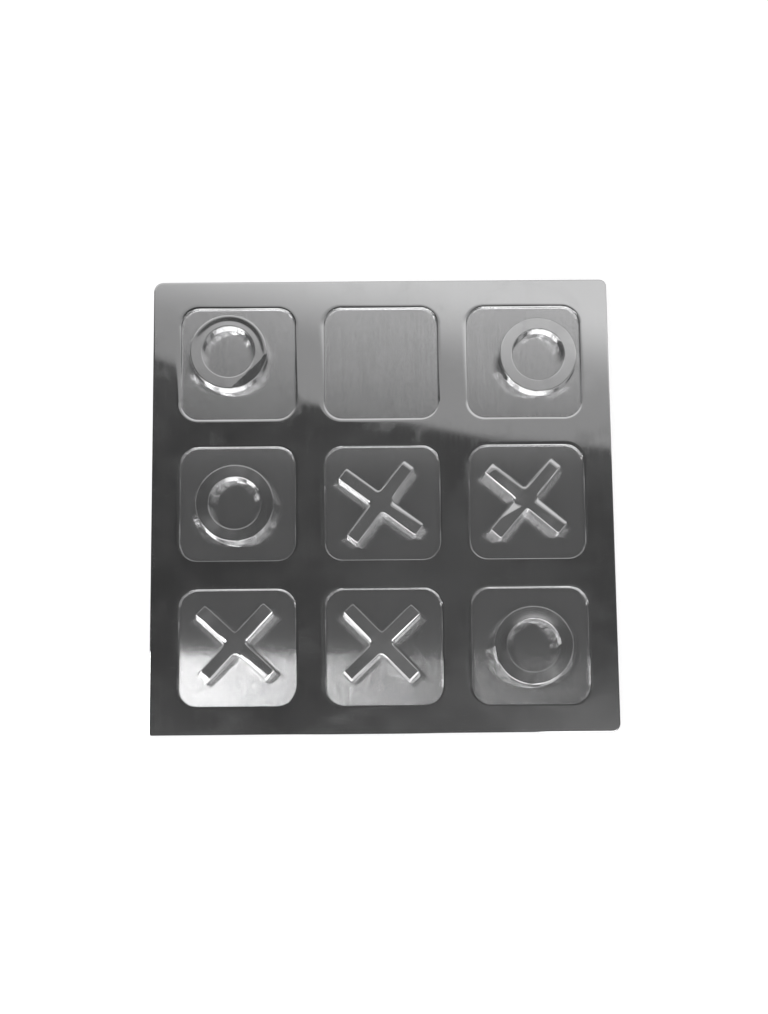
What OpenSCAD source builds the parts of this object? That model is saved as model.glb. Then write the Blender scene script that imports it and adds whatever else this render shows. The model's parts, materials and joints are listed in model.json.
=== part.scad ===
// Tic-tac-toe board of cast metal with nine sunk wells, four noughts, four crosses and felt feet.
// Millimetres. +X is right, +Y is away from the player, +Z is up.
// The origin is the middle of the board on the surface that the feet stand on.

/* [Board] */
// Side of the square board
board_w = 300; // [290:1:340]
// Thickness of the board
board_t = 6; // [5:0.5:9]
// Radius of the board's four corners, seen from above
board_corner_r = 5; // [4:0.5:12]
// Rounding of the board's upper outer edge
board_top_r = 0.5; // [0.3:0.1:2.5]
// Rounding of the board's lower outer edge
board_bottom_r = 1; // [0.4:0.1:1.5]

/* [Wells] */
// Side of a well, measured between its walls
well_w = 75; // [72:0.5:80]
// Distance between the middles of neighbouring wells
well_pitch = 94; // [88:0.5:100]
// Depth of the wells below the polished frame
well_depth = 2.5; // [2.2:0.1:3.5]
// Radius of the wells' corners, seen from above
well_corner_r = 12; // [8:0.5:18]
// Rounding of the rim round each well
well_rim_r = 0.4; // [0.2:0.1:0.8]
// Fillet between a well's wall and its floor
well_floor_r = 0.8; // [0.2:0.1:1.2]

/* [Noughts] */
// Outer diameter of a nought at its foot
nought_outer_d = 51.4; // [44:0.2:54]
// Diameter of the hole in a nought at its foot
nought_hole_d = 33; // [28:0.2:38]
// Height of a nought
nought_h = 10; // [6:0.5:14]

/* [Crosses] */
// Length of a cross from arm end to arm end, at its foot
cross_l = 63; // [54:0.5:68]
// Width of an arm at its foot
cross_arm_w = 10.4; // [8:0.2:14]
// Height of a cross
cross_h = 10; // [6:0.5:14]
// Radius of the upright corners at the arm ends, at the foot
cross_corner_r = 1.9; // [1.8:0.1:2.5]
// Radius of the hollows where two arms meet, at the foot
cross_crotch_r = 1.6; // [1:0.1:3]

/* [Casting and polishing] */
// How far each side of a playing piece leans in from foot to top
draft_w = 0.6; // [0.2:0.1:0.7]
// Rounding of the playing pieces' upper edges
edge_r = 0.6; // [0.4:0.1:1.1]
// Rounding of the playing pieces' lower edges
foot_r = 0.8; // [0.2:0.1:1]

/* [Felt feet] */
// Diameter of a felt foot
foot_d = 24; // [12:1:30]
// Thickness of a felt foot
foot_h = 2; // [1:0.5:4]
// Distance from a foot's middle to the two nearest sides of the board
foot_inset = 28; // [22:1:60]

/* [Places of the pieces] */
// Back left nought: shift right and back from the middle of its well
nought_back_left_shift = [-6, 6.3]; // [-9.5:0.1:9.5]
// Back right nought: shift right and back from the middle of its well
nought_back_right_shift = [9, 2.8]; // [-9.5:0.1:9.5]
// Middle left nought: shift right and back from the middle of its well
nought_middle_left_shift = [-1.5, -0.9]; // [-9.5:0.1:9.5]
// Front right nought: shift right and back from the middle of its well
nought_front_right_shift = [1.5, -0.9]; // [-9.5:0.1:9.5]
// Centre cross: shift right and back from the middle of its well
cross_centre_shift = [-1.2, -0.9]; // [-5:0.1:5]
// Centre cross: turn to the left
cross_centre_angle = 8; // [-15:0.5:15]
// Middle right cross: shift right and back from the middle of its well
cross_middle_right_shift = [-1.4, 0.9]; // [-5:0.1:5]
// Middle right cross: turn to the left
cross_middle_right_angle = 4.5; // [-15:0.5:15]
// Front left cross: shift right and back from the middle of its well
cross_front_left_shift = [-0.7, 1.8]; // [-5:0.1:5]
// Front left cross: turn to the left
cross_front_left_angle = 2; // [-15:0.5:15]
// Front centre cross: shift right and back from the middle of its well
cross_front_centre_shift = [-1.5, 1.2]; // [-5:0.1:5]
// Front centre cross: turn to the left
cross_front_centre_angle = -1; // [-15:0.5:15]

/* [Hidden] */
$fn = 96;
polished = "silver";
felt = "dimgray";
board_top = foot_h + board_t;
well_floor = board_top - well_depth;
// How far the cutter of a well stands above the board
over = 1;
// The crosses stand on their arms like the letter X
cross_angle = 45;

// Flat shapes, drawn with x away from the middle of the piece and y up

// The sliver between a square corner at the origin and the round that replaces it
module corner_waste(r) {
    difference() {
        translate([-r, 0]) square([2 * r, r]);
        translate([-r, r]) circle(r);
    }
}

// Outer edge of the board: width counts from the middle of the corner round
module board_edge(width) {
    difference() {
        square([width, board_t]);
        translate([width, 0]) corner_waste(board_bottom_r);
        translate([width, board_t]) mirror([0, 1]) corner_waste(board_top_r);
    }
}

// Edge of the space inside a well, from its floor to above the board, with the rounded rim
module well_edge(width) {
    difference() {
        square([width, well_depth + over]);
        translate([width, 0]) corner_waste(well_floor_r);
    }
    translate([width, well_depth - well_rim_r]) difference() {
        square([well_rim_r, well_rim_r + over]);
        translate([well_rim_r, 0]) circle(well_rim_r);
    }
}

// The point at a distance r from the middle of a round, at a turn up from level
function on_round(middle, r, turn) = middle + r * [cos(turn), sin(turn)];

// Slice of a round between two turns
module slice(middle, r, from, to) {
    reach = 2 * r;
    intersection() {
        translate(middle) circle(r);
        polygon([
            middle, on_round(middle, reach, from),
            on_round(middle, sqrt(2) * reach, (from + to) / 2), on_round(middle, reach, to)
        ]);
    }
}

// Leaning wall of a playing piece with its round lower and upper edges
module piece_edge(width, height) {
    lean = atan(draft_w / height);
    low = [width - foot_r * (1 + sin(lean)) / cos(lean), foot_r];
    high = [width - draft_w * (height - edge_r) / height - edge_r / cos(lean), height - edge_r];
    polygon([
        [0, 0], [low.x, 0], low, on_round(low, foot_r, lean),
        on_round(high, edge_r, lean), high, [high.x, height], [0, height]
    ]);
    slice(low, foot_r, -90, lean);
    slice(high, edge_r, lean, 90);
}

// Solids swept round an outline

// One straight stretch of a swept edge, its flat shape in children(), leading away along +Y
module straight_edge(length) {
    translate([0, length, 0]) rotate([90, 0, 0]) linear_extrude(length) children();
}

// Square with round corners: the edge shape in children() runs round a plain block
module rounded_square(side, r, height) {
    core = side - 2 * r;
    translate([-core / 2, -core / 2, 0]) cube([core, core, height]);
    for (quarter = [0:3]) rotate(90 * quarter) translate([core / 2, 0, 0]) {
        translate([0, -core / 2, 0]) straight_edge(core) children();
        translate([0, core / 2, 0]) rotate_extrude(angle = 90) children();
    }
}

// The board

module board() {
    color(polished) difference() {
        translate([0, 0, foot_h]) rounded_square(board_w, board_corner_r, board_t)
            board_edge(board_corner_r);
        for (column = [-1:1], row = [-1:1])
            translate([column * well_pitch, row * well_pitch, well_floor])
                rounded_square(well_w, well_corner_r, well_depth + over)
                    well_edge(well_corner_r);
    }
}

// The playing pieces

// Stands its children in a well: column and row count from the centre of the board
module in_well(column, row, shift, turn = 0) {
    translate([column * well_pitch + shift.x, row * well_pitch + shift.y, well_floor])
        rotate(turn) children();
}

// Ring with leaning walls outside and inside
module nought() {
    outer_r = nought_outer_d / 2;
    hole_r = nought_hole_d / 2;
    middle_r = (outer_r + hole_r) / 2;
    color(polished) rotate_extrude() translate([middle_r, 0]) {
        piece_edge(outer_r - middle_r, nought_h);
        mirror([1, 0]) piece_edge(middle_r - hole_r, nought_h);
    }
}

// Cross with leaning walls, round upper edges, and blended hollows between its arms
module cross() {
    half_w = cross_arm_w / 2;
    core_w = half_w - cross_corner_r;
    core_l = cross_l / 2 - cross_corner_r;
    hollow = half_w + cross_crotch_r;
    blend_r = cross_crotch_r + cross_corner_r;
    color(polished) rotate(cross_angle) {
        linear_extrude(cross_h) {
            square([2 * core_l, 2 * core_w], center = true);
            square([2 * core_w, 2 * core_l], center = true);
            difference() {
                square(2 * hollow, center = true);
                for (x = [-hollow, hollow], y = [-hollow, hollow]) translate([x, y]) circle(blend_r);
            }
        }
        for (quarter = [0:3]) rotate(90 * quarter) {
            for (side = [0, 1]) mirror([0, side, 0]) {
                translate([hollow, core_w, 0]) rotate(90) mirror([0, 1, 0])
                    straight_edge(core_l - hollow) piece_edge(cross_corner_r, cross_h);
                translate([core_l, core_w, 0]) rotate_extrude(angle = 90)
                    piece_edge(cross_corner_r, cross_h);
            }
            translate([core_l, -core_w, 0]) straight_edge(2 * core_w)
                piece_edge(cross_corner_r, cross_h);
            translate([hollow, hollow, 0]) rotate(180) rotate_extrude(angle = 90)
                translate([blend_r, 0]) mirror([1, 0]) piece_edge(cross_corner_r, cross_h);
        }
    }
}

module nought_back_left() { in_well(-1, 1, nought_back_left_shift) nought(); }
module nought_back_right() { in_well(1, 1, nought_back_right_shift) nought(); }
module nought_middle_left() { in_well(-1, 0, nought_middle_left_shift) nought(); }
module nought_front_right() { in_well(1, -1, nought_front_right_shift) nought(); }

module cross_centre() { in_well(0, 0, cross_centre_shift, cross_centre_angle) cross(); }
module cross_middle_right() {
    in_well(1, 0, cross_middle_right_shift, cross_middle_right_angle) cross();
}
module cross_front_left() {
    in_well(-1, -1, cross_front_left_shift, cross_front_left_angle) cross();
}
module cross_front_centre() {
    in_well(0, -1, cross_front_centre_shift, cross_front_centre_angle) cross();
}

// The felt feet

module foot_pad(column, row) {
    place = board_w / 2 - foot_inset;
    color(felt) translate([column * place, row * place, 0]) cylinder(d = foot_d, h = foot_h);
}
module foot_pad_front_left() { foot_pad(-1, -1); }
module foot_pad_front_right() { foot_pad(1, -1); }
module foot_pad_back_left() { foot_pad(-1, 1); }
module foot_pad_back_right() { foot_pad(1, 1); }

board();
nought_back_left();
nought_back_right();
nought_middle_left();
nought_front_right();
cross_centre();
cross_middle_right();
cross_front_left();
cross_front_centre();
foot_pad_front_left();
foot_pad_front_right();
foot_pad_back_left();
foot_pad_back_right();
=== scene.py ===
"""Tic-tac-toe board of polished cast metal, with its finishes and studio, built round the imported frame."""

import json
import math

import bpy
import numpy as np
from bpy.props import FloatProperty, FloatVectorProperty, PointerProperty
from mathutils import Matrix, Vector


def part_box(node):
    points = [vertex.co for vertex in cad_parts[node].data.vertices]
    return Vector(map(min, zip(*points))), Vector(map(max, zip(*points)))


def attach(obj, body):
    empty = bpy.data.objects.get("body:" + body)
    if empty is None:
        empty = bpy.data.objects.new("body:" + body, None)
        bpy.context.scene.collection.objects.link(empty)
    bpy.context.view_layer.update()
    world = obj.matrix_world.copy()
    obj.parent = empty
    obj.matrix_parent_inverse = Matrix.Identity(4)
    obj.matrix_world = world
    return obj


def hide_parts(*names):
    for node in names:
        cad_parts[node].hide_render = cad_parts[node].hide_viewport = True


bl_info = {
    "name": "Tic-Tac-Toe Board",
    "version": (1, 0, 0),
    "blender": (4, 5, 0),
    "location": "3D View > Sidebar > Tic-Tac-Toe",
    "description": "Builds a cast metal tic-tac-toe board with its noughts, crosses, felt feet and studio",
    "category": "Add Mesh",
}

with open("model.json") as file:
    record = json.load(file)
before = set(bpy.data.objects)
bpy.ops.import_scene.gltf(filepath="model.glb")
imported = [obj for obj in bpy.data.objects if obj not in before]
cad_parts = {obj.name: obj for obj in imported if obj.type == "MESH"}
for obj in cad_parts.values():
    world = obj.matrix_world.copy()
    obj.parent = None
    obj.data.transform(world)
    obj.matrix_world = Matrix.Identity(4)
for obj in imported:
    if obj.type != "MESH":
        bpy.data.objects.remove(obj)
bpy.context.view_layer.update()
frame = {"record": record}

# Metres in one millimetre: the shapes are worked out in millimetres
MM = 0.001

# The noughts, and the crosses with their turn to the left in degrees
NOUGHTS = ("nought_back_left", "nought_back_right", "nought_middle_left", "nought_front_right")
CROSSES = {
    "cross_centre": 8.0,
    "cross_middle_right": 4.5,
    "cross_front_left": 2.0,
    "cross_front_centre": -1.0,
}
FEET = ("foot_pad_front_left", "foot_pad_front_right", "foot_pad_back_left", "foot_pad_back_right")
# A cross stands on its arms like the letter X
CROSS_LEAN = 45.0
# Slope that the polished faces of the board and of the pieces have reached where an edge's rounding starts
ROLL_SLOPE = 0.07
PIECE_ROLL_SLOPE = 0.09
UP, DOWN = (0, 0, 1), (0, 0, -1)
QUARTER = math.pi / 2


# Sizes and colours that a user may change

def length(name, description, millimetres):
    """A property that holds a length."""
    return FloatProperty(name=name, description=description, default=millimetres * MM, min=0.0,
                         precision=5, subtype="DISTANCE", unit="LENGTH")


def share(name, description, value):
    """A property that holds a share from nothing to all."""
    return FloatProperty(name=name, description=description, default=value, min=0.0, max=1.0,
                         subtype="FACTOR")


def colour(name, description, value):
    """A property that holds a colour."""
    return FloatVectorProperty(name=name, description=description, default=value, size=3, min=0.0, max=1.0,
                               subtype="COLOR")


def light_level(name, description, value):
    """A property that holds a level of light, where 1 reads white."""
    return FloatProperty(name=name, description=description, default=value, min=0.0)


class BoardSizes(bpy.types.PropertyGroup):
    """Sizes of the board and its wells"""
    side: length("Side", "Side of the square board", 300.0)
    corner_r: length("Corner radius", "Mean radius of the board's four corners, seen from above", 5.0)
    top_r: length("Upper edge", "Rounding of the upper outer edge", 0.4)
    bottom_r: length("Lower edge", "Rounding of the lower outer edge", 1.0)
    well_side: length("Well side", "Side of a well between its walls", 75.0)
    well_pitch: length("Well spacing", "Distance between the middles of neighbouring wells", 94.0)
    well_depth: length("Well depth", "Depth of the wells below the frame", 2.5)
    well_corner_r: length("Well corner", "Radius of the wells' corners, seen from above", 12.0)
    rim_r: length("Well rim", "Rounding of the rim round a well", 0.4)
    roll_w: length("Roll-off", "Width of the band beside each edge that polishing has worn down", 2.6)
    floor_r: length("Floor fillet", "Fillet between a well's wall and its floor", 0.3)
    wave: length("Polishing waves", "Height of the shallow waves that polishing leaves in the frame", 0.016)


class PieceSizes(bpy.types.PropertyGroup):
    """Sizes of the noughts, the crosses and the felt feet"""
    height: length("Height", "Height of a playing piece", 10.0)
    nought_outer_r: length("Nought radius", "Outer radius of a nought at its foot", 25.7)
    nought_hole_r: length("Nought hole", "Radius of the hole in a nought at its foot", 16.5)
    cross_reach: length("Cross reach", "Distance from a cross's middle to its arm ends, at the foot", 31.5)
    cross_arm: length("Arm width", "Width of an arm at its foot", 10.4)
    cross_corner_r: length("Arm corner", "Radius of the upright corners at the arm ends", 1.9)
    cross_crotch_r: length("Hollow", "Radius of the hollows where two arms meet", 1.6)
    draft: length("Draft", "How far each side leans in from foot to top", 0.4)
    edge_r: length("Upper edge", "Rounding of the upper edges", 0.5)
    roll_w: length("Roll-off", "Width of the band beside each upper edge that polishing has worn down", 0.7)
    foot_r: length("Foot edge", "Rounding of the edges that stand on the well floor", 0.8)
    pad_r: length("Felt foot radius", "Radius of a felt foot", 12.0)
    pad_h: length("Felt foot height", "Thickness of a felt foot", 2.0)


class Finishes(bpy.types.PropertyGroup):
    """Colours and gloss of the metal and the felt"""
    board_metal: colour("Frame", "Colour of the polished frame", (0.86, 0.86, 0.865))
    floor_metal: colour("Well floors", "Colour of the brushed well floors", (0.84, 0.84, 0.845))
    piece_metal: colour("Playing pieces", "Colour of the polished noughts and crosses", (0.88, 0.88, 0.885))
    felt: colour("Felt", "Colour of the felt feet", (0.045, 0.045, 0.05))
    polish: share("Polish", "Roughness of the polished metal where it is clean", 0.025)
    brush: share("Brushing", "Roughness of the brushed floors", 0.12)
    grooves: share("Grooves", "Slope of the brushed floors' fine grooves", 0.215)


class Studio(bpy.types.PropertyGroup):
    """Light and ground of the studio"""
    ground: colour("Ground", "Colour of the pale floor", (0.9, 0.9, 0.9))
    ground_lift: share("Ground lift", "Light that the floor adds of its own, so that it reads white", 0.45)
    room: light_level("Room light", "Level of the light that comes evenly from the room", 0.7)
    strip_light: FloatProperty(name="Strip light", description="Power of the left strip light",
                               default=0.6, min=0.0, subtype="POWER", unit="POWER")
    far_panel: light_level("Far panel", "Level of the bright panel behind the board", 0.3)
    near_panel: light_level("Near panel", "Level of the broad panel above the near side", 2.2)
    ceiling: light_level("Ceiling", "Level of the dark ceiling that the frame mirrors", 0.05)


class BoardSettings(bpy.types.PropertyGroup):
    """All settings of the board"""
    board: PointerProperty(type=BoardSizes)
    pieces: PointerProperty(type=PieceSizes)
    finishes: PointerProperty(type=Finishes)
    studio: PointerProperty(type=Studio)


def settings():
    """The settings that belong to the scene."""
    return bpy.context.scene.tic_tac_toe_board


def millimetres(group, *names):
    """Named lengths of a group of settings, in millimetres."""
    return [getattr(group, name) / MM for name in names]


# Meshes from rows of points

# The plan view that serves as UV map holds this much of its square in one metre
PLAN_SHARE = 3


class Shell:
    """Points with their normals, and faces with their finish, gathered row by row in millimetres."""

    def __init__(self):
        self.points, self.normals, self.faces = [], [], []
        self.count = 0

    def row(self, points, normals):
        """Adds points and returns their numbers."""
        points = np.asarray(points, float).reshape(-1, 3)
        self.points.append(points)
        self.normals.append(np.broadcast_to(np.asarray(normals, float), points.shape))
        self.count += len(points)
        return np.arange(self.count - len(points), self.count)

    def bridge(self, one, other, finish=0, closed=True):
        """Joins two rows of equal length by a band of faces."""
        corners = np.stack([one, np.roll(one, -1), np.roll(other, -1), other], axis=1)
        self.faces.append((corners if closed else corners[:-1], finish))

    def patch(self, rows, finish=0, closed=False):
        """Joins neighbouring rows of a grid."""
        for one, other in zip(rows, rows[1:]):
            self.bridge(one, other, finish, closed)

    def fan(self, row, point, normal):
        """Joins a closed row to a new point."""
        middle = np.full(len(row), self.row([point], normal)[0])
        self.faces.append((np.stack([row, np.roll(row, -1), middle], axis=1), 0))

    def cap(self, row, finish=0):
        """Closes a row with one flat face."""
        self.faces.append((np.array([row]), finish))

    def lift(self, height, weight):
        """Raises each point by height(x, y) times weight(z), and turns its normal to match."""
        points, normals = np.concatenate(self.points), np.concatenate(self.normals)
        x, y, z = points.T
        near = 0.01
        amount = weight(z)
        slope_x = (height(x + near, y) - height(x - near, y)) / (2 * near) * amount
        slope_y = (height(x, y + near) - height(x, y - near)) / (2 * near) * amount
        points[:, 2] += height(x, y) * amount
        normals[:, 0] -= slope_x * normals[:, 2]
        normals[:, 1] -= slope_y * normals[:, 2]
        self.points, self.normals = [points], [normals]

    def build(self, name, place, materials):
        """Makes the object, with points at the same spot joined and a plan view as its UV map."""
        points, normals = np.concatenate(self.points), np.concatenate(self.normals)
        _, first, joined = np.unique(np.round(points, 3), axis=0, return_index=True, return_inverse=True)
        joined = joined.ravel()
        points = points[first]
        shared = np.zeros((len(first), 3))
        np.add.at(shared, joined, normals)
        shared /= np.linalg.norm(shared, axis=1, keepdims=True)
        faces, finishes = [], []
        for corners, finish in self.faces:
            corners = joined[corners]
            across = np.cross(points[corners], points[np.roll(corners, -1, axis=1)]).sum(axis=1)
            inside_out = (across * shared[corners].sum(axis=1)).sum(axis=1) < 0
            corners[inside_out] = corners[inside_out, ::-1]
            for ring in corners.tolist():
                ring = [c for i, c in enumerate(ring) if c != ring[i - 1]]
                if len(ring) > 2:
                    faces.append(ring)
                    finishes.append(finish)
        mesh = bpy.data.meshes.new(name)
        mesh.from_pydata((points * MM).tolist(), [], faces)
        mesh.polygons.foreach_set("material_index", finishes)
        mesh.polygons.foreach_set("use_smooth", [True] * len(faces))
        plan = mesh.uv_layers.new(name="plan")
        corner_points = np.empty(len(mesh.loops), np.int32)
        mesh.loops.foreach_get("vertex_index", corner_points)
        plan_places = points[corner_points, :2] * MM * PLAN_SHARE + 0.5
        plan.data.foreach_set("uv", plan_places.astype(np.float32).ravel())
        mesh.normals_split_custom_set_from_vertices(shared.tolist())
        for material in materials:
            mesh.materials.append(material)
        made = bpy.data.objects.new(name, mesh)
        made.location = Vector(place)
        bpy.context.scene.collection.objects.link(made)
        return made


def dress(piece, body, node):
    """Lets a piece ride on its body in place of its CAD node."""
    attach(piece, body)
    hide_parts(node)


def body_of_node(node):
    """Name of the body that a node belongs to."""
    for body, nodes in frame["record"]["behaviour"]["bodies"].items():
        if node in nodes:
            return body
    raise RuntimeError(f"no body holds the node {node}")


def smooth_step(low, high, value):
    """Rises from 0 to 1 between low and high, level at both ends."""
    t = np.clip((value - low) / (high - low), 0.0, 1.0)
    return t * t * (3 - 2 * t)


def waves(seed, longest, shortest, count):
    """A function of x and y that adds up some shallow waves of random direction."""
    dice = np.random.default_rng(seed)
    parts = [(dice.uniform(shortest, longest), dice.uniform(0, math.tau), dice.uniform(0, math.tau))
             for _ in range(count)]

    def height(x, y):
        total = 0.0
        for long, turn, start in parts:
            total = total + np.cos(math.tau / long * (x * math.cos(turn) + y * math.sin(turn)) + start) * long
        return total / (longest * math.sqrt(count))
    return height


# The board

# Points along the side of a well, along the arc of a corner and along half of it
SIDE_STEPS = 24
ARC_STEPS = 14
HALF_ARC = ARC_STEPS // 2
# Rows of points across a worn band, round an upper edge, and round a lower edge or a fillet
ROLL_ROWS, ROUND_ROWS, FILLET_ROWS = 8, 11, 6


def quarter_turns(x, y):
    """A row of points repeated on the four sides of a square."""
    return np.concatenate([np.stack(pair, axis=1) for pair in ((x, y), (-y, x), (-x, -y), (y, -x))])


def outward(steps):
    """The way out from points along the sides of a square with round corners."""
    turn = np.linspace(0, QUARTER, ARC_STEPS, endpoint=False)
    return quarter_turns(np.concatenate([np.ones(steps), np.cos(turn)]),
                         np.concatenate([np.zeros(steps), np.sin(turn)]))


def arc_middles(middle):
    """The points that a well's outline is drawn from: along its sides, and at the middles of its corners."""
    along = np.linspace(-middle, middle, SIDE_STEPS, endpoint=False)
    return quarter_turns(np.full(SIDE_STEPS + ARC_STEPS, middle),
                         np.concatenate([along, np.full(ARC_STEPS, middle)]))


def square_row(middle, reach):
    """Points on a square, one for each point of arc_middles()."""
    along = np.linspace(-middle, middle, SIDE_STEPS, endpoint=False)
    rest = np.linspace(middle, reach, HALF_ARC, endpoint=False)
    x = np.concatenate([np.full(SIDE_STEPS + HALF_ARC, reach),
                        np.linspace(reach, middle, HALF_ARC, endpoint=False)])
    y = np.concatenate([along, rest, np.full(HALF_ARC, reach)])
    return quarter_turns(x, y)


def flat(points, z):
    """Plan points at one height, or at one height each."""
    return np.column_stack([points, np.broadcast_to(z, len(points))])


def rounded(out, turn):
    """Normals between outwards, at a turn of 0, and straight up, at a quarter turn."""
    return np.column_stack([out * math.cos(turn), np.full(len(out), math.sin(turn))])


def rolled_edge(edge_r, roll_w):
    """Steps down from a flat top: how far from the wall, how high, and the turn of the normal."""
    brim = edge_r * (1 - math.sin(ROLL_SLOPE))
    worn = roll_w * ROLL_SLOPE / 3
    steps = []
    for part in np.linspace(1, 0, ROLL_ROWS):
        steps.append((brim + roll_w * part, -worn * (1 - part) ** 3, QUARTER - ROLL_SLOPE * (1 - part) ** 2))
    for turn in np.linspace(QUARTER - ROLL_SLOPE, 0, ROUND_ROWS)[1:]:
        fall = edge_r * (math.cos(ROLL_SLOPE) - math.sin(turn))
        steps.append((edge_r * (1 - math.cos(turn)), -worn - fall, turn))
    return steps


def add_well(shell, place, sizes, rim, roll, top):
    """Adds one well and the part of the frame round it, out to halfway to the next wells."""
    side, pitch, depth, corner_r, floor_r = sizes
    floor = top - depth
    middle = side / 2 - corner_r
    centres, out = arc_middles(middle), outward(SIDE_STEPS)

    def at(reach):
        return centres + out * reach + place

    edge = square_row(middle, pitch / 2) + place
    flat_start = at(corner_r + (rim + roll)[:, None])
    rows = [shell.row(flat(edge + (flat_start - edge) * part, top), UP) for part in (0, 0.25, 0.5, 0.72, 0.9)]
    for in_by, level, turn in rolled_edge(rim, roll):
        rows.append(shell.row(flat(at(corner_r + in_by[:, None]), top + level), rounded(-out, turn)))
    shell.patch(rows, 0, closed=True)
    fillet = []
    for turn in np.linspace(0, QUARTER, FILLET_ROWS):
        fillet.append(shell.row(flat(at(corner_r - floor_r * (1 - math.cos(turn))),
                                     floor + floor_r * (1 - math.sin(turn))), rounded(-out, turn)))
    shell.bridge(rows[-1], fillet[0], 0)
    shell.patch(fillet, 1, closed=True)
    inner = [fillet[-1]]
    inner += [shell.row(flat(at((corner_r - floor_r) * part), floor), UP) for part in (0.92, 0.5, 0)]
    shell.patch(inner, 1, closed=True)
    steps = np.linspace(-middle, middle, SIDE_STEPS + 1)
    shell.patch([shell.row(flat(np.column_stack([np.full(SIDE_STEPS + 1, x), steps]) + place, floor), UP)
                 for x in steps], 1)


def add_board_edge(shell, board_w, pitch, corners, top_r, roll_w, bottom_r, bottom, top, well_middle):
    """Adds the border outside the nine wells, the rounded outer edge and the underside."""
    cells = pitch * 1.5
    lead = np.linspace(-pitch / 2, -well_middle, HALF_ARC, endpoint=False)
    beside = square_row(well_middle, pitch / 2)[:SIDE_STEPS + HALF_ARC, 1]
    one_side = np.concatenate([np.concatenate([lead, beside]) + pitch * k for k in (-1, 0, 1)])
    part = np.concatenate([(one_side + cells) / (2 * cells), np.ones(ARC_STEPS)])
    centres, radii = [], []
    for quarter, r in enumerate(corners):
        before = corners[quarter - 1]
        radius = before + (r - before) * part
        along = (board_w / 2 - r) * part - (board_w / 2 - before) * (1 - part)
        centres.append(np.split(quarter_turns(board_w / 2 - radius, along), 4)[quarter])
        radii.append(radius)
    centres, radii = np.concatenate(centres), np.concatenate(radii)[:, None]
    out = outward(len(one_side))
    near = quarter_turns(np.full(len(part), cells), np.concatenate([one_side, np.full(ARC_STEPS, cells)]))
    rows = [shell.row(flat(near, top), UP), shell.row(flat((near + centres) / 2, top), UP)]
    rows += [shell.row(flat(centres + out * (radii - top_r - roll_w) * reach, top), UP)
             for reach in (0, 0.35, 0.7)]
    for in_by, level, turn in rolled_edge(top_r, roll_w):
        rows.append(shell.row(flat(centres + out * (radii - in_by), top + level), rounded(out, turn)))
    for turn in np.linspace(0, -QUARTER, FILLET_ROWS):
        rows.append(shell.row(flat(centres + out * (radii - bottom_r * (1 - math.cos(turn))),
                                   bottom + bottom_r * (1 + math.sin(turn))), rounded(out, turn)))
    shell.patch(rows, 0, closed=True)
    inset = shell.row(flat(centres, bottom), DOWN)
    shell.bridge(rows[-1], inset, 0)
    shell.cap(inset, 2)


def around_well(sides, seed):
    """A value for each point round a well, from the values of its right, far, left and near side."""
    dice = np.random.default_rng(seed)
    values = []
    for i in range(4):
        values += [sides[i]] * SIDE_STEPS
        values += list(np.linspace(sides[i], sides[(i + 1) % 4], ARC_STEPS, endpoint=False))
    uneven = np.cos(np.linspace(0, math.tau, len(values), endpoint=False) * 3 + dice.uniform(0, math.tau))
    return np.array(values) * (1 + UNEVEN * uneven)


# Radius of the back right, back left, front left and front right corner, against the mean one
CORNERS = (0.92, 1.24, 0.46, 1.1)
# Width of a well's rim and of its worn band on the right, the far and the left side, against the mean ones
RIM_SIDES, BAND_SIDES = (0.8, 1.0, 0.8), (0.9, 0.9, 1.5)
# Both widths on the near side of the wells in the front, middle and back row
NEAR_SIDES = (0.6, 0.4, 0.9)
# How much these widths come and go along the edge
UNEVEN = 0.1
# Width of the worn band at the board's outer edge, against the one beside the wells
OUTER_BAND = 0.3
# How far the frame lies below its full height, counted in wave heights
FRAME_SINK = 1.5


class BuildBoard(bpy.types.Operator):
    """Builds the cast board with its polished frame and its nine brushed wells"""
    bl_idname = "tic_tac_toe.board"
    bl_label = "Board"

    def execute(self, context):
        sizes = settings().board
        side, corner_r, top_r, bottom_r = millimetres(sizes, "side", "corner_r", "top_r", "bottom_r")
        well = millimetres(sizes, "well_side", "well_pitch", "well_depth", "well_corner_r", "floor_r")
        well_side, pitch, depth, well_corner_r, _ = well
        rim_r, roll_w, wave = millimetres(sizes, "rim_r", "roll_w", "wave")
        low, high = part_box("board")
        bottom, top = low.z / MM, high.z / MM
        shell = Shell()
        for column in (-1, 0, 1):
            for row in (-1, 0, 1):
                place = np.array([column, row]) * pitch
                # Polished by hand, so no two sides are the same
                number = 3 * row + column
                near = NEAR_SIDES[row + 1]
                add_well(shell, place, well, rim_r * around_well((*RIM_SIDES, near), 40 + number),
                         roll_w * around_well((*BAND_SIDES, near), 60 + number), top)
        corners = [corner_r * against_mean for against_mean in CORNERS]
        add_board_edge(shell, side, pitch, corners, top_r, roll_w * OUTER_BAND, bottom_r, bottom, top,
                       well_side / 2 - well_corner_r)
        polishing = waves(seed=7, longest=150.0, shortest=45.0, count=9)
        # The waves reach the frame and the rims, and fade out down the walls
        shell.lift(lambda x, y: wave * polishing(x, y) - FRAME_SINK * wave,
                   lambda z: smooth_step(top - depth * 0.8, top, z))
        finishes = settings().finishes
        board = shell.build("polished_board", (0, 0, 0), [
            polished_metal("polished_frame", finishes.board_metal, 1),
            brushed_metal("brushed_floor", finishes.floor_metal),
            ground_metal("ground_underside", finishes.board_metal),
        ])
        dress(board, "board", "board")
        return {"FINISHED"}


# The playing pieces

def middle_of(node):
    """Middle of a node's foot, in metres."""
    low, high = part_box(node)
    return Vector(((low.x + high.x) / 2, (low.y + high.y) / 2, low.z))


# Rows of points round a lower edge and across a worn band, and where the rows on a wall are
FOOT_ROWS = 5
WALL_PARTS = (0.3, 0.6)


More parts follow.
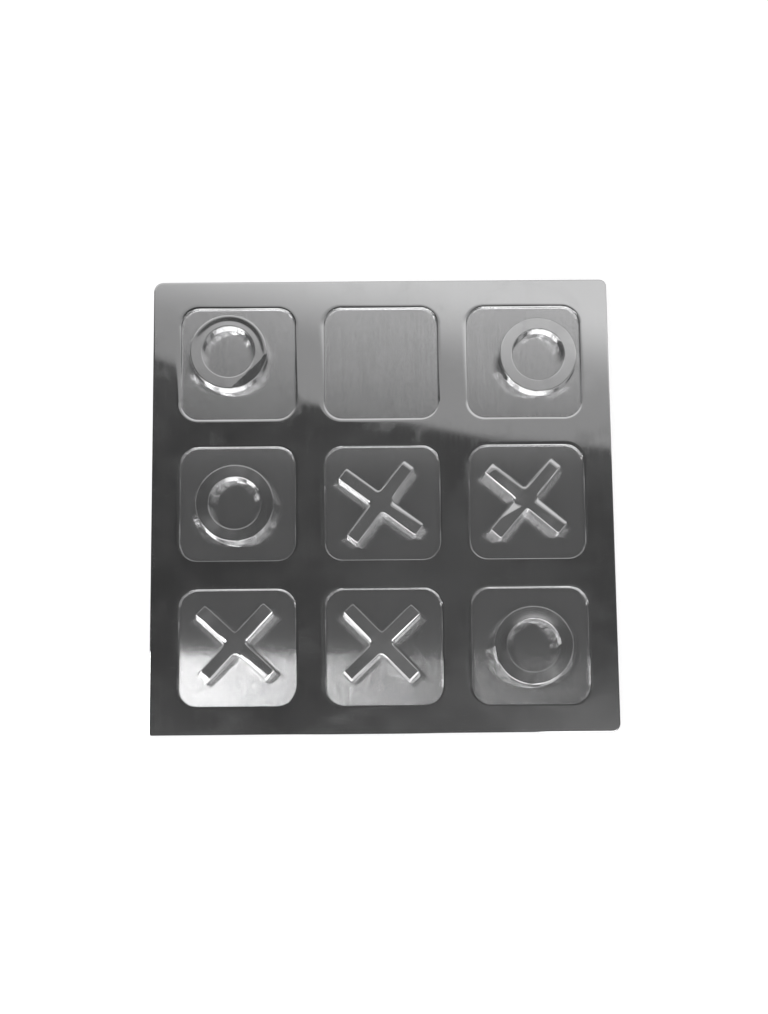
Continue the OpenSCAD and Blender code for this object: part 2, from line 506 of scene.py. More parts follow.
def leaning_profile(height, draft, edge_r, roll_w, foot_r):
    """Steps up a wall from its foot to its top: how far in, how high, and the turn of the normal."""
    lean = math.atan(draft / height)
    steps = []
    for turn in np.linspace(-QUARTER, lean, FOOT_ROWS):
        in_by = foot_r * (1 / math.cos(lean) - math.cos(turn))
        steps.append((in_by, foot_r * (1 + math.sin(turn)), turn))
    worn = roll_w * PIECE_ROLL_SLOPE / 3
    shoulder = height - worn - edge_r * math.cos(PIECE_ROLL_SLOPE)
    for part in WALL_PARTS:
        level = foot_r + (shoulder - foot_r) * part
        steps.append((draft * level / height, level, lean))
    reach = draft * shoulder / height + edge_r / math.cos(lean)
    for turn in np.linspace(lean, QUARTER - PIECE_ROLL_SLOPE, ROLL_ROWS):
        steps.append((reach - edge_r * math.cos(turn), shoulder + edge_r * math.sin(turn), turn))
    brim = reach - edge_r * math.sin(PIECE_ROLL_SLOPE)
    for part in np.linspace(0, 1, FOOT_ROWS)[1:]:
        steps.append((brim + roll_w * part, height - worn * (1 - part) ** 3,
                      QUARTER - PIECE_ROLL_SLOPE * (1 - part) ** 2))
    return steps


# Points round a nought, and rows of points across its top
NOUGHT_STEPS, NOUGHT_ROWS = 168, 9
# Each nought's top: slope to the back, outward slope beside the hole, and how satin its polish is
NOUGHT_TOPS = {
    "nought_back_left": (-0.005, 0.0, 0.0),
    "nought_back_right": (-0.002, 0.0, 0.05),
    "nought_middle_left": (0.0, 0.0, 0.05),
    "nought_front_right": (0.0, 0.065, 0.05),
}
# Share of a playing piece that shows grey through the polish
NOUGHT_HAZE, CROSS_HAZE = 0.025, 0.08


class BuildNoughts(bpy.types.Operator):
    """Builds the four loose rings"""
    bl_idname = "tic_tac_toe.noughts"
    bl_label = "Noughts"

    def execute(self, context):
        sizes = settings().pieces
        height, outer_r, hole_r, *edges = millimetres(
            sizes, "height", "nought_outer_r", "nought_hole_r", "draft", "edge_r", "roll_w", "foot_r")
        profile = leaning_profile(height, *edges)
        turns = np.linspace(0, math.tau, NOUGHT_STEPS, endpoint=False)
        out = np.column_stack([np.cos(turns), np.sin(turns)])
        for number, node in enumerate(NOUGHTS):
            shell = Shell()
            outside = [shell.row(flat(out * (outer_r - in_by), level), rounded(out, turn))
                       for in_by, level, turn in profile]
            inside = [shell.row(flat(out * (hole_r + in_by), level), rounded(-out, turn))
                      for in_by, level, turn in profile]
            from_r, to_r = outer_r - profile[-1][0], hole_r + profile[-1][0]
            top = [shell.row(flat(out * r, height), UP) for r in np.linspace(from_r, to_r, NOUGHT_ROWS)[1:-1]]
            shell.patch(outside + top + inside[::-1], 0, closed=True)
            shell.bridge(inside[0], outside[0], 0)
            polishing = waves(seed=20 + number, longest=40.0, shortest=16.0, count=6)
            shell.lift(lambda x, y: nought_relief(x, y, node, polishing),
                       lambda z: smooth_step(0, height, z))
            metal = polished_metal(f"polished_{node}", settings().finishes.piece_metal, 30 + number,
                                   satin=NOUGHT_TOPS[node][2], turned=True, haze=NOUGHT_HAZE)
            piece = shell.build(f"polished_{node}", middle_of(node), [metal])
            dress(piece, body_of_node(node), node)
        return {"FINISHED"}


# Height of the polishing waves on a nought's top, and how far the top lies below full height
NOUGHT_WAVE, NOUGHT_SINK = 0.01, 0.15
# Outer radius and width of the crowned part of a top, and how far a slope of 1 would sink it
CROWN_R, CROWN_W, CROWN_SINK = 24.5, 7, 1.2
# Radii between which the lip rises, its height, and how far from the middle the buffed chord starts
LIP_FROM_TO, LIP_H, CHORD_AWAY = (20.5, 23.8), 0.11, 18.6


def nought_relief(x, y, node, polishing):
    """Height of a nought's top against a flat one."""
    to_back, crowned, _ = NOUGHT_TOPS[node]
    away = np.hypot(x, y)
    height = to_back * y + NOUGHT_WAVE * polishing(x, y) - NOUGHT_SINK
    if crowned:
        # Highest beside the hole at the back left, and level from the crown's edge to the outer rim
        crown = smooth_step(-4, 8, y - 0.5 * x)
        from_edge = np.clip(CROWN_R - away, 0, CROWN_W)
        height = height + crowned * crown * (from_edge ** 2 / (2 * CROWN_W) - CROWN_SINK)
    if node == "nought_back_left":
        # A raised lip near the rim, and a chord of the front right part that is buffed down
        lip = smooth_step(*LIP_FROM_TO, away)
        height = height + LIP_H * lip * smooth_step(-3, 12, y + 0.3 * x)
        past = np.clip((x - y) * math.sqrt(0.5) - CHORD_AWAY, 0, None)
        height = height - 0.02 * past - 0.002 * past ** 2
    return height


# Points along an arm, across its end, round a hollow and round a corner
ARM_STEPS = 22
END_STEPS = 8
HOLLOW_STEPS = 7
CORNER_STEPS = 5


def cross_outline(reach, arm_w, corner_r, crotch_r):
    """Points round the foot of a cross with arms along x and y, and the way out at each."""
    half = arm_w / 2
    hollow = half + crotch_r
    core_l, core_w = reach - corner_r, half - corner_r
    points, out = [], []

    def line(x0, y0, x1, y1, steps, nx, ny):
        for t in np.linspace(0, 1, steps, endpoint=False):
            points.append((x0 + (x1 - x0) * t, y0 + (y1 - y0) * t))
            out.append((nx, ny))

    def arc(x, y, r, start, end, steps, sign):
        for t in np.radians(np.linspace(start, end, steps, endpoint=False)):
            points.append((x + r * math.cos(t), y + r * math.sin(t)))
            out.append((sign * math.cos(t), sign * math.sin(t)))

    line(hollow, -half, core_l, -half, ARM_STEPS, 0, -1)
    arc(core_l, -core_w, corner_r, -90, 0, CORNER_STEPS, 1)
    line(reach, -core_w, reach, core_w, END_STEPS, 1, 0)
    arc(core_l, core_w, corner_r, 0, 90, CORNER_STEPS, 1)
    line(core_l, half, hollow, half, ARM_STEPS, 0, 1)
    arc(hollow, hollow, crotch_r, -90, -180, HOLLOW_STEPS, -1)
    points, out = np.array(points), np.array(out)
    return quarter_turns(*points.T), quarter_turns(*out.T)


class BuildCrosses(bpy.types.Operator):
    """Builds the four loose crosses"""
    bl_idname = "tic_tac_toe.crosses"
    bl_label = "Crosses"

    def execute(self, context):
        sizes = settings().pieces
        height, reach, arm_w, corner_r, crotch_r, *edges = millimetres(
            sizes, "height", "cross_reach", "cross_arm", "cross_corner_r", "cross_crotch_r",
            "draft", "edge_r", "roll_w", "foot_r")
        points, out = cross_outline(reach, arm_w, corner_r, crotch_r)
        hollow = arm_w / 2 + crotch_r
        core_l, core_w = reach - corner_r, arm_w / 2 - corner_r
        for number, (node, turn_left) in enumerate(CROSSES.items()):
            shell = Shell()
            rows = [shell.row(flat(points - out * in_by, level), rounded(out, turn))
                    for in_by, level, turn in leaning_profile(height, *edges)]
            rows.append(shell.row(flat(points - out * corner_r, height), UP))
            shell.patch(rows, 0, closed=True)
            shell.cap(rows[0], 0)
            across = np.linspace(-core_w, core_w, END_STEPS + 1)
            for quarter in range(4):
                c, s = math.cos(quarter * QUARTER), math.sin(quarter * QUARTER)
                lines = [np.column_stack([x * c - across * s, x * s + across * c])
                         for x in np.linspace(hollow, core_l, ARM_STEPS + 1)]
                shell.patch([shell.row(flat(line, height), UP) for line in lines], 0)
            round_r = crotch_r + corner_r
            bend = np.radians(np.linspace(-90, -180, HOLLOW_STEPS, endpoint=False))
            mouth = quarter_turns(
                np.concatenate([np.full(END_STEPS, hollow), hollow + round_r * np.cos(bend)]),
                np.concatenate([across[:-1], hollow + round_r * np.sin(bend)]))
            middle = [shell.row(flat(mouth * part, height), UP) for part in (1, 0.8, 0.6, 0.4, 0.2)]
            shell.patch(middle, 0, closed=True)
            shell.fan(middle[-1], (0, 0, height), UP)
            wear = CROSS_WEAR[node]
            polishing = waves(seed=60 + number, longest=34.0, shortest=14.0, count=6)
            shell.lift(lambda x, y: cross_relief(x, y, reach, arm_w, wear, polishing),
                       lambda z: smooth_step(height * 0.3, height, z))
            metal = polished_metal(f"polished_{node}", settings().finishes.piece_metal, 70 + number,
                                   haze=CROSS_HAZE)
            piece = shell.build(f"polished_{node}", middle_of(node), [metal])
            piece.rotation_euler.z = math.radians(CROSS_LEAN + turn_left)
            dress(piece, body_of_node(node), node)
        return {"FINISHED"}


# Facets worn on each cross: arm (0 back right, 1 back left, 2 front left, 3 front right), side of the arm
# seen from the middle, width in millimetres at the root and at the end (or on the right and the left of the
# end), slope at the edge, and whether the slope comes gradually
CROSS_WEAR = {
    "cross_centre": (
        (0, "end", 4.0, 4.0, 0.09, True), (1, "right", 2.8, 2.8, 0.08, True),
        (3, "left", 5.2, 3.2, 0.1, True), (1, "left", 1.7, 1.5, 0.222, False),
        (3, "right", 1.5, 1.7, 0.217, False), (2, "end", 1.6, 1.6, 0.21, False)),
    "cross_middle_right": (
        (0, "end", 4.2, 3.8, 0.09, True), (1, "end", 6.0, 3.0, 0.075, True),
        (1, "right", 3.0, 4.2, 0.08, True), (3, "left", 5.2, 3.6, 0.105, True),
        (0, "left", 2.8, 2.8, 0.08, True), (2, "right", 7.4, -2.5, 0.055, False),
        (1, "left", 1.4, 1.4, 0.243, False), (2, "end", 1.4, 1.4, 0.223, False)),
    "cross_front_left": (
        (1, "left", 3.2, 1.8, 0.18, False), (3, "right", 3.4, 5.6, 0.165, False),
        (2, "end", 4.0, 4.8, 0.16, False), (0, "right", 2.4, 2.4, 0.26, False),
        (2, "left", 2.4, 2.1, 0.265, False), (3, "end", 2.2, 2.2, 0.258, False)),
    "cross_front_centre": (
        (0, "right", 2.2, 2.0, 0.24, False), (1, "left", 2.2, 2.8, 0.215, False),
        (2, "left", 1.8, 2.2, 0.25, False), (3, "right", 1.6, 1.8, 0.19, False),
        (2, "end", 2.4, 2.4, 0.19, False), (3, "end", 2.2, 2.2, 0.245, False)),
}
# Height of the polishing waves on a cross's top, how far the top lies below full height, and how softly an
# abrupt facet starts
CROSS_WAVE, CROSS_SINK, FACET_SOFT = 0.012, 0.06, 0.2


def cross_relief(x, y, reach, arm_w, wear, polishing):
    """Height of a cross's top against a flat one."""
    half = arm_w / 2
    drop = 0.0
    for arm, side, from_w, to_w, slope, gradual in wear:
        c, s = math.cos(arm * QUARTER), math.sin(arm * QUARTER)
        along, across = x * c + y * s, y * c - x * s
        if side == "end":
            edge, toward, part = reach, along, (across + half) / arm_w
            on_arm = 1.0
        else:
            edge, toward = half, across if side == "left" else -across
            part = (along - half) / (reach - half)
            on_arm = smooth_step(half * 0.7, half * 1.4, along)
        width = from_w + (to_w - from_w) * np.clip(part, 0, 1)
        past = np.clip(toward - edge + width, 0, None)
        fall = past ** 2 / (2 * width) if gradual else np.hypot(past, FACET_SOFT) - FACET_SOFT
        drop = drop + on_arm * slope * fall
    return CROSS_WAVE * polishing(x, y) - CROSS_SINK - drop


# Rounding of the felt feet's edges, and where the rows of points inside them are
FELT_SOFT_R = 0.35
FELT_PARTS = (0.9, 0.6, 0.3)
# How far the cut of a foot's outline strays: in one long wave, and from point to point
FELT_OVAL, FELT_JAGGED = 0.012, 0.006


class BuildFeet(bpy.types.Operator):
    """Builds the four felt feet under the board"""
    bl_idname = "tic_tac_toe.feet"
    bl_label = "Felt feet"

    def execute(self, context):
        pad_r, pad_h = millimetres(settings().pieces, "pad_r", "pad_h")
        felt = pressed_felt("pressed_felt", settings().finishes.felt)
        turns = np.linspace(0, math.tau, 96, endpoint=False)
        out = np.column_stack([np.cos(turns), np.sin(turns)])
        inner_r = pad_r - FELT_SOFT_R
        for number, node in enumerate(FEET):
            dice = np.random.default_rng(90 + number)
            cut = 1 - FELT_OVAL * (1 + np.cos(2 * turns + dice.uniform(0, math.tau)))[:, None] \
                - FELT_JAGGED * dice.uniform(0, 1, len(turns))[:, None]
            shell = Shell()
            rows = []
            for start, end, middle in ((-QUARTER, 0, FELT_SOFT_R), (0, QUARTER, pad_h - FELT_SOFT_R)):
                for turn in np.linspace(start, end, FOOT_ROWS):
                    rows.append(shell.row(flat(out * (inner_r + FELT_SOFT_R * math.cos(turn)) * cut,
                                               middle + FELT_SOFT_R * math.sin(turn)), rounded(out, turn)))
            rows += [shell.row(flat(out * inner_r * part, pad_h), UP) for part in FELT_PARTS]
            shell.patch(rows, 0, closed=True)
            shell.fan(rows[-1], (0, 0, pad_h), UP)
            under = [rows[0]] + [shell.row(flat(out * inner_r * part, 0), DOWN) for part in FELT_PARTS]
            shell.patch(under, 0, closed=True)
            shell.fan(under[-1], (0, 0, 0), DOWN)
            piece = shell.build(f"felt_{node}", middle_of(node), [felt])
            dress(piece, body_of_node(node), node)
        return {"FINISHED"}


# Finishes

class Recipe:
    """A material or world that is put together node by node."""

    def __init__(self, owner):
        self.owner = owner
        owner.use_nodes = True
        self.tree = owner.node_tree
        self.tree.nodes.clear()

    def node(self, kind, inputs=None, **values):
        """Adds a node, sets its values, and sets or links its inputs."""
        made = self.tree.nodes.new("ShaderNode" + kind)
        for name, value in values.items():
            setattr(made, name, value)
        for name, value in (inputs or {}).items():
            if isinstance(value, bpy.types.NodeSocket):
                self.tree.links.new(value, made.inputs[name])
            else:
                made.inputs[name].default_value = value
        return made

    def maths(self, operation, first, *others):
        """The result of one Math node, or of a chain of them for more than two values."""
        if not others:
            return self.node("Math", {0: first}, operation=operation).outputs[0]
        for other in others:
            first = self.node("Math", {0: first, 1: other}, operation=operation).outputs[0]
        return first

    def add(self, *values):
        """The sum of values."""
        return self.maths("ADD", *values)

    def times(self, *values):
        """The product of values."""
        return self.maths("MULTIPLY", *values)

    def most(self, *values):
        """The greatest of values."""
        return self.maths("MAXIMUM", *values)

    def vectors(self, operation, *values):
        """The result of one Vector Math node."""
        return self.node("VectorMath", dict(enumerate(values)), operation=operation).outputs[0]

    def ramp(self, value, low, high, start=0.0, end=1.0, smooth=False):
        """A value brought from one range to another and kept inside it."""
        made = self.node("MapRange", {0: value, 1: low, 2: high, 3: start, 4: end},
                         interpolation_type="SMOOTHSTEP" if smooth else "LINEAR")
        return made.outputs[0]

    def noise(self, place, scale, detail=2.0, rough=0.5, warp=0.0):
        """Cloudy noise between 0 and 1."""
        return self.node("TexNoise", {"Vector": place, "Scale": scale, "Detail": detail, "Roughness": rough,
                                      "Distortion": warp}).outputs["Fac"]

    def stretched(self, place, scale, turn=0.0, shift=(0.0, 0.0, 0.0)):
        """Texture places stretched, turned and shifted."""
        return self.node("Mapping", {"Vector": place, "Scale": scale, "Rotation": (0.0, 0.0, turn),
                                     "Location": shift}).outputs[0]

    def within(self, value, middle, half, soft):
        """1 where a value lies within half a width of the middle, falling to 0 over a soft edge."""
        off = self.maths("ABSOLUTE", self.maths("SUBTRACT", value, middle))
        return self.ramp(off, half + soft, half)

    def object_places(self, shift=(0.0, 0.0, 0.0)):
        """Texture places that stay with the object, in millimetres."""
        return self.stretched(self.node("TexCoord").outputs["Object"], (1 / MM,) * 3, shift=shift)

    def grey(self, value, colour_of):
        """A colour made darker by a value between 0 and 1."""
        return self.node("Mix", {0: 1.0, 6: (*colour_of, 1.0), 7: value}, data_type="RGBA",
                         blend_type="MULTIPLY").outputs[2]

    def finish(self, shader, kind="OutputMaterial"):
        """Links a shader node to the output, and returns what it finishes."""
        self.node(kind, {"Surface": shader.outputs[0]})
        return self.owner


def polished_metal(name, colour_of, seed, satin=0.0, turned=False, haze=0.0):
    """Mirror-polished casting: finger smudges, fine polishing lines and a few pits."""
    finishes = settings().finishes
    mix = Recipe(bpy.data.materials.new(name))
    place = mix.object_places(shift=(seed * 37.0, seed * 11.0, 0))
    smudge = mix.ramp(mix.noise(place, 0.035, 4.0, 0.6, 0.6), 0.45, 0.72, smooth=True)
    wiped = mix.noise(mix.stretched(place, (0.5, 0.03, 0.3), 1.2), 1.0, 3.0, 0.6)
    fine_lines = mix.noise(mix.stretched(place, (9.0, 0.25, 1.0), 0.35), 1.0, 2.0)
    from_pit = mix.node("TexVoronoi", {"Vector": place, "Scale": 0.16, "Randomness": 1.0}).outputs["Distance"]
    pits = mix.ramp(from_pit, 0.02, 0.09)
    tarnish = mix.ramp(mix.noise(place, 0.012, 3.0), 0.3, 0.7, 0.95, 1.0)
    rough = mix.add(mix.ramp(wiped, 0.3, 0.8, finishes.polish, finishes.polish * 1.5),
                    mix.times(smudge, 0.05))
    upright = mix.node("SeparateXYZ", {0: mix.node("NewGeometry").outputs["Normal"]}).outputs["Z"]
    if satin:
        # Only the level top is satin: the edges and the walls shine
        rough = mix.add(rough, mix.ramp(upright, 0.975, 0.995, 0.0, satin))
    # Handling leaves a film of grease on what faces up
    grease = mix.times(mix.add(mix.times(smudge, 0.5), mix.ramp(wiped, 0.3, 0.8, 0.0, 0.4)),
                       mix.ramp(upright, 0.5, 0.95))
    bump = mix.node("Bump", {"Strength": 0.06, "Distance": 0.05 * MM,
                             "Height": mix.add(mix.times(fine_lines, 0.05), pits)})
    values = {
        "Base Color": mix.grey(tarnish, colour_of),
        "Metallic": mix.ramp(smudge, 0.0, 1.0, 1.0 - haze, 1.0 - 1.6 * haze),
        "Roughness": rough, "Normal": bump.outputs[0],
        "Coat Roughness": 0.5, "Coat Weight": grease,
    }
    if turned:
        # Turned on a lathe: the shine spreads away from the middle
        values["Anisotropic"] = 1.0
        values["Anisotropic Rotation"] = 0.25
        values["Tangent"] = mix.node("Tangent", direction_type="RADIAL", axis="Z").outputs[0]
    return mix.finish(mix.node("BsdfPrincipled", values))


# Width and length of one groove of the brushing, in millimetres
GROOVE_W, GROOVE_L = 0.003, 3.0


def brushed_metal(name, colour_of):
    """Satin floor of a well, brushed straight from front to back."""
    finishes = settings().finishes
    mix = Recipe(bpy.data.materials.new(name))
    place = mix.object_places()
    streaks = mix.noise(mix.stretched(place, (0.9, 0.012, 1.0)), 1.0, 4.0, 0.6)
    cloud = mix.noise(place, 0.03, 3.0)
    shade = mix.add(mix.ramp(streaks, 0.25, 0.75, -0.03, 0.03), mix.ramp(cloud, 0.3, 0.7, 0.92, 0.97))
    # Fine grooves side by side, each leaning to the left or the right by its own slope
    groove = mix.vectors("FLOOR", mix.stretched(place, (1 / GROOVE_W, 1 / GROOVE_L, 0.0)))
    chances = mix.node("SeparateColor", {0: mix.node("TexWhiteNoise", {0: groove}).outputs["Color"]}).outputs
    lean = mix.maths("SUBTRACT", mix.add(*chances), 1.5)
    across = mix.node("Tangent", direction_type="UV_MAP", uv_map="plan").outputs[0]
    leaning = mix.vectors("MULTIPLY_ADD", across, mix.times(lean, finishes.grooves),
                          mix.node("NewGeometry").outputs["Normal"])
    shader = mix.node("BsdfPrincipled", {
        "Base Color": mix.grey(shade, colour_of), "Metallic": 0.94, "Roughness": finishes.brush,
        "Anisotropic": 1.0, "Tangent": across,
        "Normal": mix.vectors("NORMALIZE", leaning),
    })
    return mix.finish(shader)


def ground_metal(name, colour_of):
    """Underside of the casting: ground flat and left dull."""
    mix = Recipe(bpy.data.materials.new(name))
    place = mix.object_places()
    lines = mix.noise(mix.stretched(place, (1.2, 0.04, 1.0), 0.6), 1.0, 4.0, 0.65)
    grit = mix.noise(place, 1.5, 4.0, 0.7)
    bump = mix.node("Bump", {"Strength": 0.4, "Distance": 0.06 * MM, "Height": mix.add(lines, grit)})
    shader = mix.node("BsdfPrincipled", {
        "Base Color": mix.grey(mix.ramp(lines, 0.3, 0.7, 0.66, 0.82), colour_of), "Metallic": 1.0,
        "Roughness": mix.ramp(grit, 0.3, 0.7, 0.32, 0.48), "Normal": bump.outputs[0],
    })
    return mix.finish(shader)


def pressed_felt(name, colour_of):
    """Dark wool felt with matted fibres."""
    mix = Recipe(bpy.data.materials.new(name))
    place = mix.object_places()
    matted = mix.noise(place, 0.9, 6.0, 0.75, 1.5)
    fibres = mix.noise(mix.stretched(place, (3.0, 0.7, 3.0), 0.9), 1.0, 5.0, 0.7, 2.0)
    fuzz = mix.add(matted, fibres)
    bump = mix.node("Bump", {"Strength": 0.8, "Distance": 0.25 * MM, "Height": fuzz})
    shader = mix.node("BsdfPrincipled", {
        "Base Color": mix.grey(mix.ramp(fuzz, 0.7, 1.3, 0.55, 1.0), colour_of),
        "Roughness": 0.95, "Sheen Weight": 0.35, "Sheen Roughness": 0.4, "Normal": bump.outputs[0],
    })
    return mix.finish(shader)


# The studio

def seen_directly(mix):
    """1 for rays that show the background: from the camera, off metal and through glass."""
    path = mix.node("LightPath").outputs
    return mix.most(path["Is Camera Ray"], path["Is Glossy Ray"], path["Is Transmission Ray"])


def pale_ground(name, studio):
    """Floor that reads white and keeps a faint shadow."""
    mix = Recipe(bpy.data.materials.new(name))
    matt = mix.node("BsdfDiffuse", {"Color": (*studio.ground, 1.0)})
    lift = mix.node("Emission", {"Color": (1.0, 1.0, 1.0, 1.0),
                                 "Strength": mix.times(seen_directly(mix), studio.ground_lift)})
    return mix.finish(mix.node("AddShader", {0: matt.outputs[0], 1: lift.outputs[0]}))


def panel_behind(mix, right, back, studio):
    """Bright panel behind the board: its near edge bends from left to right, and its far edge is straight."""
    edge = mix.add(mix.times(right, -0.22), mix.add(mix.times(right, right, 0.6), 0.247))
    depth = mix.add(back, mix.times(right, 0.19))
    inside = mix.times(mix.ramp(mix.maths("SUBTRACT", back, edge), -0.0015, 0.0015),
                       mix.ramp(depth, 0.5, 0.47))
    return mix.times(inside, mix.ramp(depth, 0.278, 0.325, studio.far_panel, studio.far_panel + 0.38,
                                      smooth=True))


# Small white cards that the worn sides of the crosses catch: place to the right and to the back, and half the
# width and the length, all as slopes
CARDS = ((-0.31, -0.115, 0.05, 0.05), (0.33, -0.24, 0.05, 0.025))
CARD_SOFT, CARD_LEVEL = 0.01, 1.7
# Level of the panel beside the board, against the near one
BESIDE_SHARE = 0.3


def panels_near(mix, right, back, studio):
    """Broad panel above the near side, split by the dark camera, a faint one on the right, and the cards."""
    nearer = mix.add(back, mix.ramp(right, -0.37, -0.35, -0.05, 0.0))
    reach = mix.times(mix.ramp(nearer, -0.26, -0.3, smooth=True), mix.ramp(back, -1.6, -1.3))
    width = mix.times(mix.ramp(right, -0.95, -0.85), mix.ramp(right, 0.35, 0.15))
    off_camera = mix.ramp(mix.maths("ABSOLUTE", right), 0.03, 0.04, 0.15, 1.0)
    level = mix.times(mix.times(reach, width), off_camera, studio.near_panel)
    beside = mix.times(mix.ramp(right, 0.2, 0.3, smooth=True), mix.ramp(right, 0.9, 0.7, smooth=True),
                       mix.within(back, -0.03, 0.06, 0.06))
    level = mix.most(level, mix.times(beside, studio.near_panel * BESIDE_SHARE))
    for card_right, card_back, half_w, half_l in CARDS:
        card = mix.times(mix.within(right, card_right, half_w, CARD_SOFT),
                         mix.within(back, card_back, half_l, CARD_SOFT))
        level = mix.most(level, mix.times(card, CARD_LEVEL))
    return level


def low_walls(mix, split):
    """Pale walls low round the room, brightest at the near side."""
    squares = mix.add(mix.maths("POWER", split["X"], 2.0), mix.maths("POWER", split["Y"], 2.0))
    facing = mix.maths("DIVIDE", split["Y"], mix.most(mix.maths("SQRT", squares), 0.001))
    walls = mix.add(mix.ramp(facing, -0.35, -0.6, 0.12, 0.95, smooth=True),
                    mix.ramp(facing, 0.2, 0.7, 0.0, 0.4, smooth=True))
    return mix.times(mix.ramp(split["Z"], 0.36, 0.22, smooth=True), walls)


def dark_ceiling(mix, right, back, studio):
    """Cloudy dark ceiling, a little paler towards the right and most at the near right, with pale patches."""
    place = mix.node("CombineXYZ", {0: right, 1: back, 2: 0.0}).outputs[0]
    cloud = mix.ramp(mix.noise(place, 9.0, 3.0, 0.55, 0.4), 0.35, 0.7, 0.75, 1.5)
    near_right = mix.times(mix.ramp(right, 0.02, 0.11, 0.25, 1.0), mix.ramp(back, 0.125, 0.085))
    dark = mix.add(mix.ramp(right, -0.02, 0.07, 1.0, 1.5), mix.times(near_right, 1.1))
    patches = mix.noise(mix.stretched(place, (1.0, 2.2, 1.0)), 34.0, 3.0, 0.55, 0.8)
    patches = mix.times(mix.ramp(patches, 0.5, 0.66, smooth=True), mix.ramp(back, 0.16, 0.1, 0.25, 1.0))
    return mix.times(mix.add(mix.times(dark, cloud), patches), studio.ceiling)


def light_the_room(studio):
    """World: an even level on matt surfaces, white behind the object, and a room for metal to mirror."""
    world = bpy.context.scene.world = bpy.data.worlds.new("studio")
    # The room differs from ray to ray, so it isn't used as a lamp
    world.cycles.sampling_method = "NONE"
    mix = Recipe(world)
    split = mix.node("SeparateXYZ", {0: mix.node("TexCoord").outputs["Generated"]}).outputs
    # A direction is told by its slope to the right and to the back, against straight up
    up = mix.most(split["Z"], 0.02)
    right, back = mix.maths("DIVIDE", split["X"], up), mix.maths("DIVIDE", split["Y"], up)
    mirrored = mix.add(dark_ceiling(mix, right, back, studio), low_walls(mix, split))
    mirrored = mix.most(mirrored, panels_near(mix, right, back, studio),
                        panel_behind(mix, right, back, studio))
    path = mix.node("LightPath").outputs
    matt = mix.times(mix.maths("SUBTRACT", 1.0, path["Is Glossy Ray"]), studio.room)
    level = mix.add(mix.times(path["Is Glossy Ray"], mirrored), matt)
    level = mix.most(level, path["Is Camera Ray"], path["Is Transmission Ray"])
    mix.finish(mix.node("Background", {"Color": (1.0, 1.0, 1.0, 1.0), "Strength": level}), "OutputWorld")


def hang_strip_light(name, size, power, place):
    """A strip light that hangs over one side of the board and shines straight down."""
    lamp = bpy.data.lights.new(name, "AREA")
    lamp.shape = "RECTANGLE"
    lamp.size, lamp.size_y = size
    lamp.energy = power
    hung = bpy.data.objects.new(name, lamp)
    hung.location = place
    hung.visible_camera = False
    bpy.context.scene.collection.objects.link(hung)


# The camera: its place in metres, the directions to its right and above it, and its sensor and lens
CAMERA_PLACE = (-0.010996, -0.25694, 1.283072)
CAMERA_RIGHT = (0.99992151, -0.01018644, 0.00729421)
CAMERA_ABOVE = (0.00856504, 0.98068533, 0.19540449)
SENSOR_W, LENS = 36.0, 71.12
# Half the side of the ground and its level, just under the feet
GROUND_REACH, GROUND_LEVEL = 4.0, -0.0002
# Strip lights: size and place in metres, and power against the left one
STRIP_LIGHTS = {
    "strip_light_left": ((0.15, 0.171), (-0.43, -0.0545, 1.0), 1.0),
    "strip_light_right": ((0.15, 0.16), (0.26, -0.195, 1.0), 0.24),
}


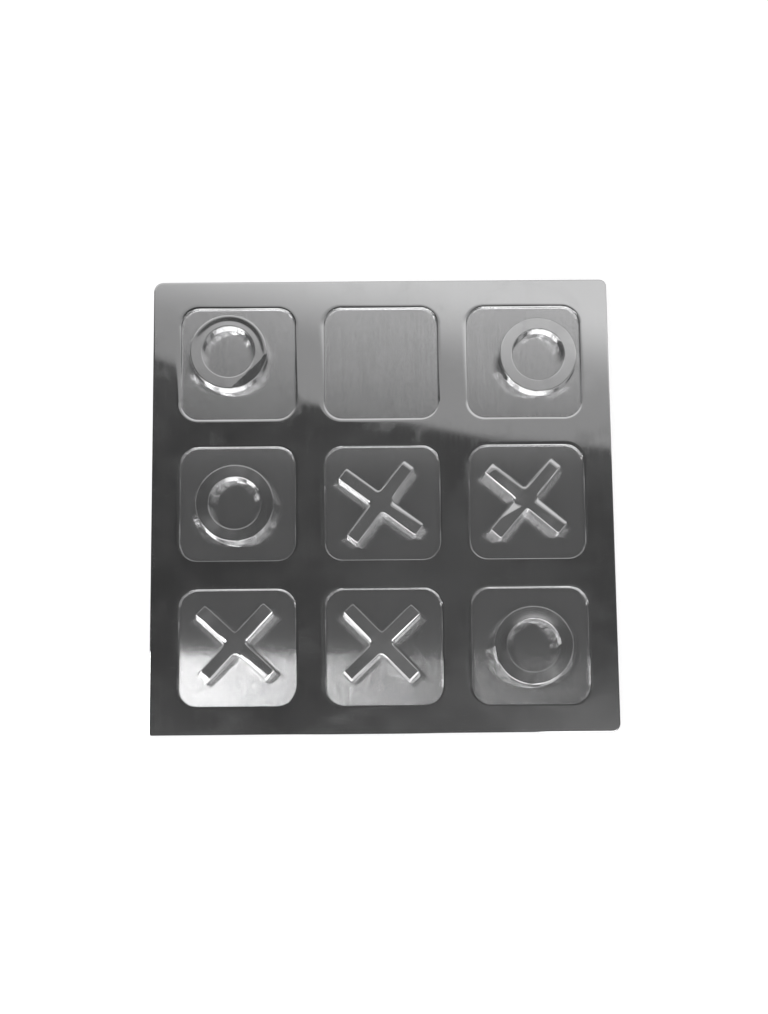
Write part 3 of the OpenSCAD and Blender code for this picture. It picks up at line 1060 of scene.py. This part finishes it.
class BuildStudio(bpy.types.Operator):
    """Builds the camera, the pale ground and the light"""
    bl_idname = "tic_tac_toe.studio"
    bl_label = "Studio"

    def execute(self, context):
        studio = settings().studio
        camera = bpy.data.objects.new("camera", bpy.data.cameras.new("camera"))
        camera.data.sensor_width, camera.data.lens = SENSOR_W, LENS
        camera.data.clip_start, camera.data.clip_end = 0.05, 50.0
        right, above = Vector(CAMERA_RIGHT), Vector(CAMERA_ABOVE)
        camera.matrix_world = Matrix.Translation(CAMERA_PLACE) @ \
            Matrix((right, above, right.cross(above))).transposed().to_4x4()
        context.scene.collection.objects.link(camera)
        context.scene.camera = camera
        mesh = bpy.data.meshes.new("ground")
        corners = ((-1, -1), (1, -1), (1, 1), (-1, 1))
        mesh.from_pydata([(GROUND_REACH * x, GROUND_REACH * y, GROUND_LEVEL) for x, y in corners], [],
                         [(0, 1, 2, 3)])
        ground = bpy.data.objects.new("ground", mesh)
        mesh.materials.append(pale_ground("pale_ground", studio))
        context.scene.collection.objects.link(ground)
        light_the_room(studio)
        for name, (size, place, power) in STRIP_LIGHTS.items():
            hang_strip_light(name, size, studio.strip_light * power, place)
        context.scene.view_settings.view_transform = "Standard"
        return {"FINISHED"}


# Panel and registration

class BoardPanel(bpy.types.Panel):
    """Lists the pieces of the board"""
    bl_idname = "VIEW3D_PT_tic_tac_toe"
    bl_label = "Tic-Tac-Toe Board"
    bl_space_type = "VIEW_3D"
    bl_region_type = "UI"
    bl_category = "Tic-Tac-Toe"

    def draw(self, context):
        layout = self.layout
        for maker in MAKERS:
            layout.operator(maker.bl_idname)
        chosen = context.scene.tic_tac_toe_board
        for group in (chosen.board, chosen.pieces, chosen.finishes, chosen.studio):
            box = layout.box()
            for name in group.__annotations__:
                box.prop(group, name)


GROUPS = (BoardSizes, PieceSizes, Finishes, Studio, BoardSettings)
MAKERS = (BuildStudio, BuildBoard, BuildNoughts, BuildCrosses, BuildFeet)


def register():
    for kind in (*GROUPS, *MAKERS, BoardPanel):
        bpy.utils.register_class(kind)
    bpy.types.Scene.tic_tac_toe_board = PointerProperty(type=BoardSettings)


def unregister():
    del bpy.types.Scene.tic_tac_toe_board
    for kind in reversed((*GROUPS, *MAKERS, BoardPanel)):
        bpy.utils.unregister_class(kind)


def main():
    """Registers the add-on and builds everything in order."""
    register()
    for maker in MAKERS:
        group, name = maker.bl_idname.split(".")
        getattr(getattr(bpy.ops, group), name)()


if __name__ == "__main__":
    main()
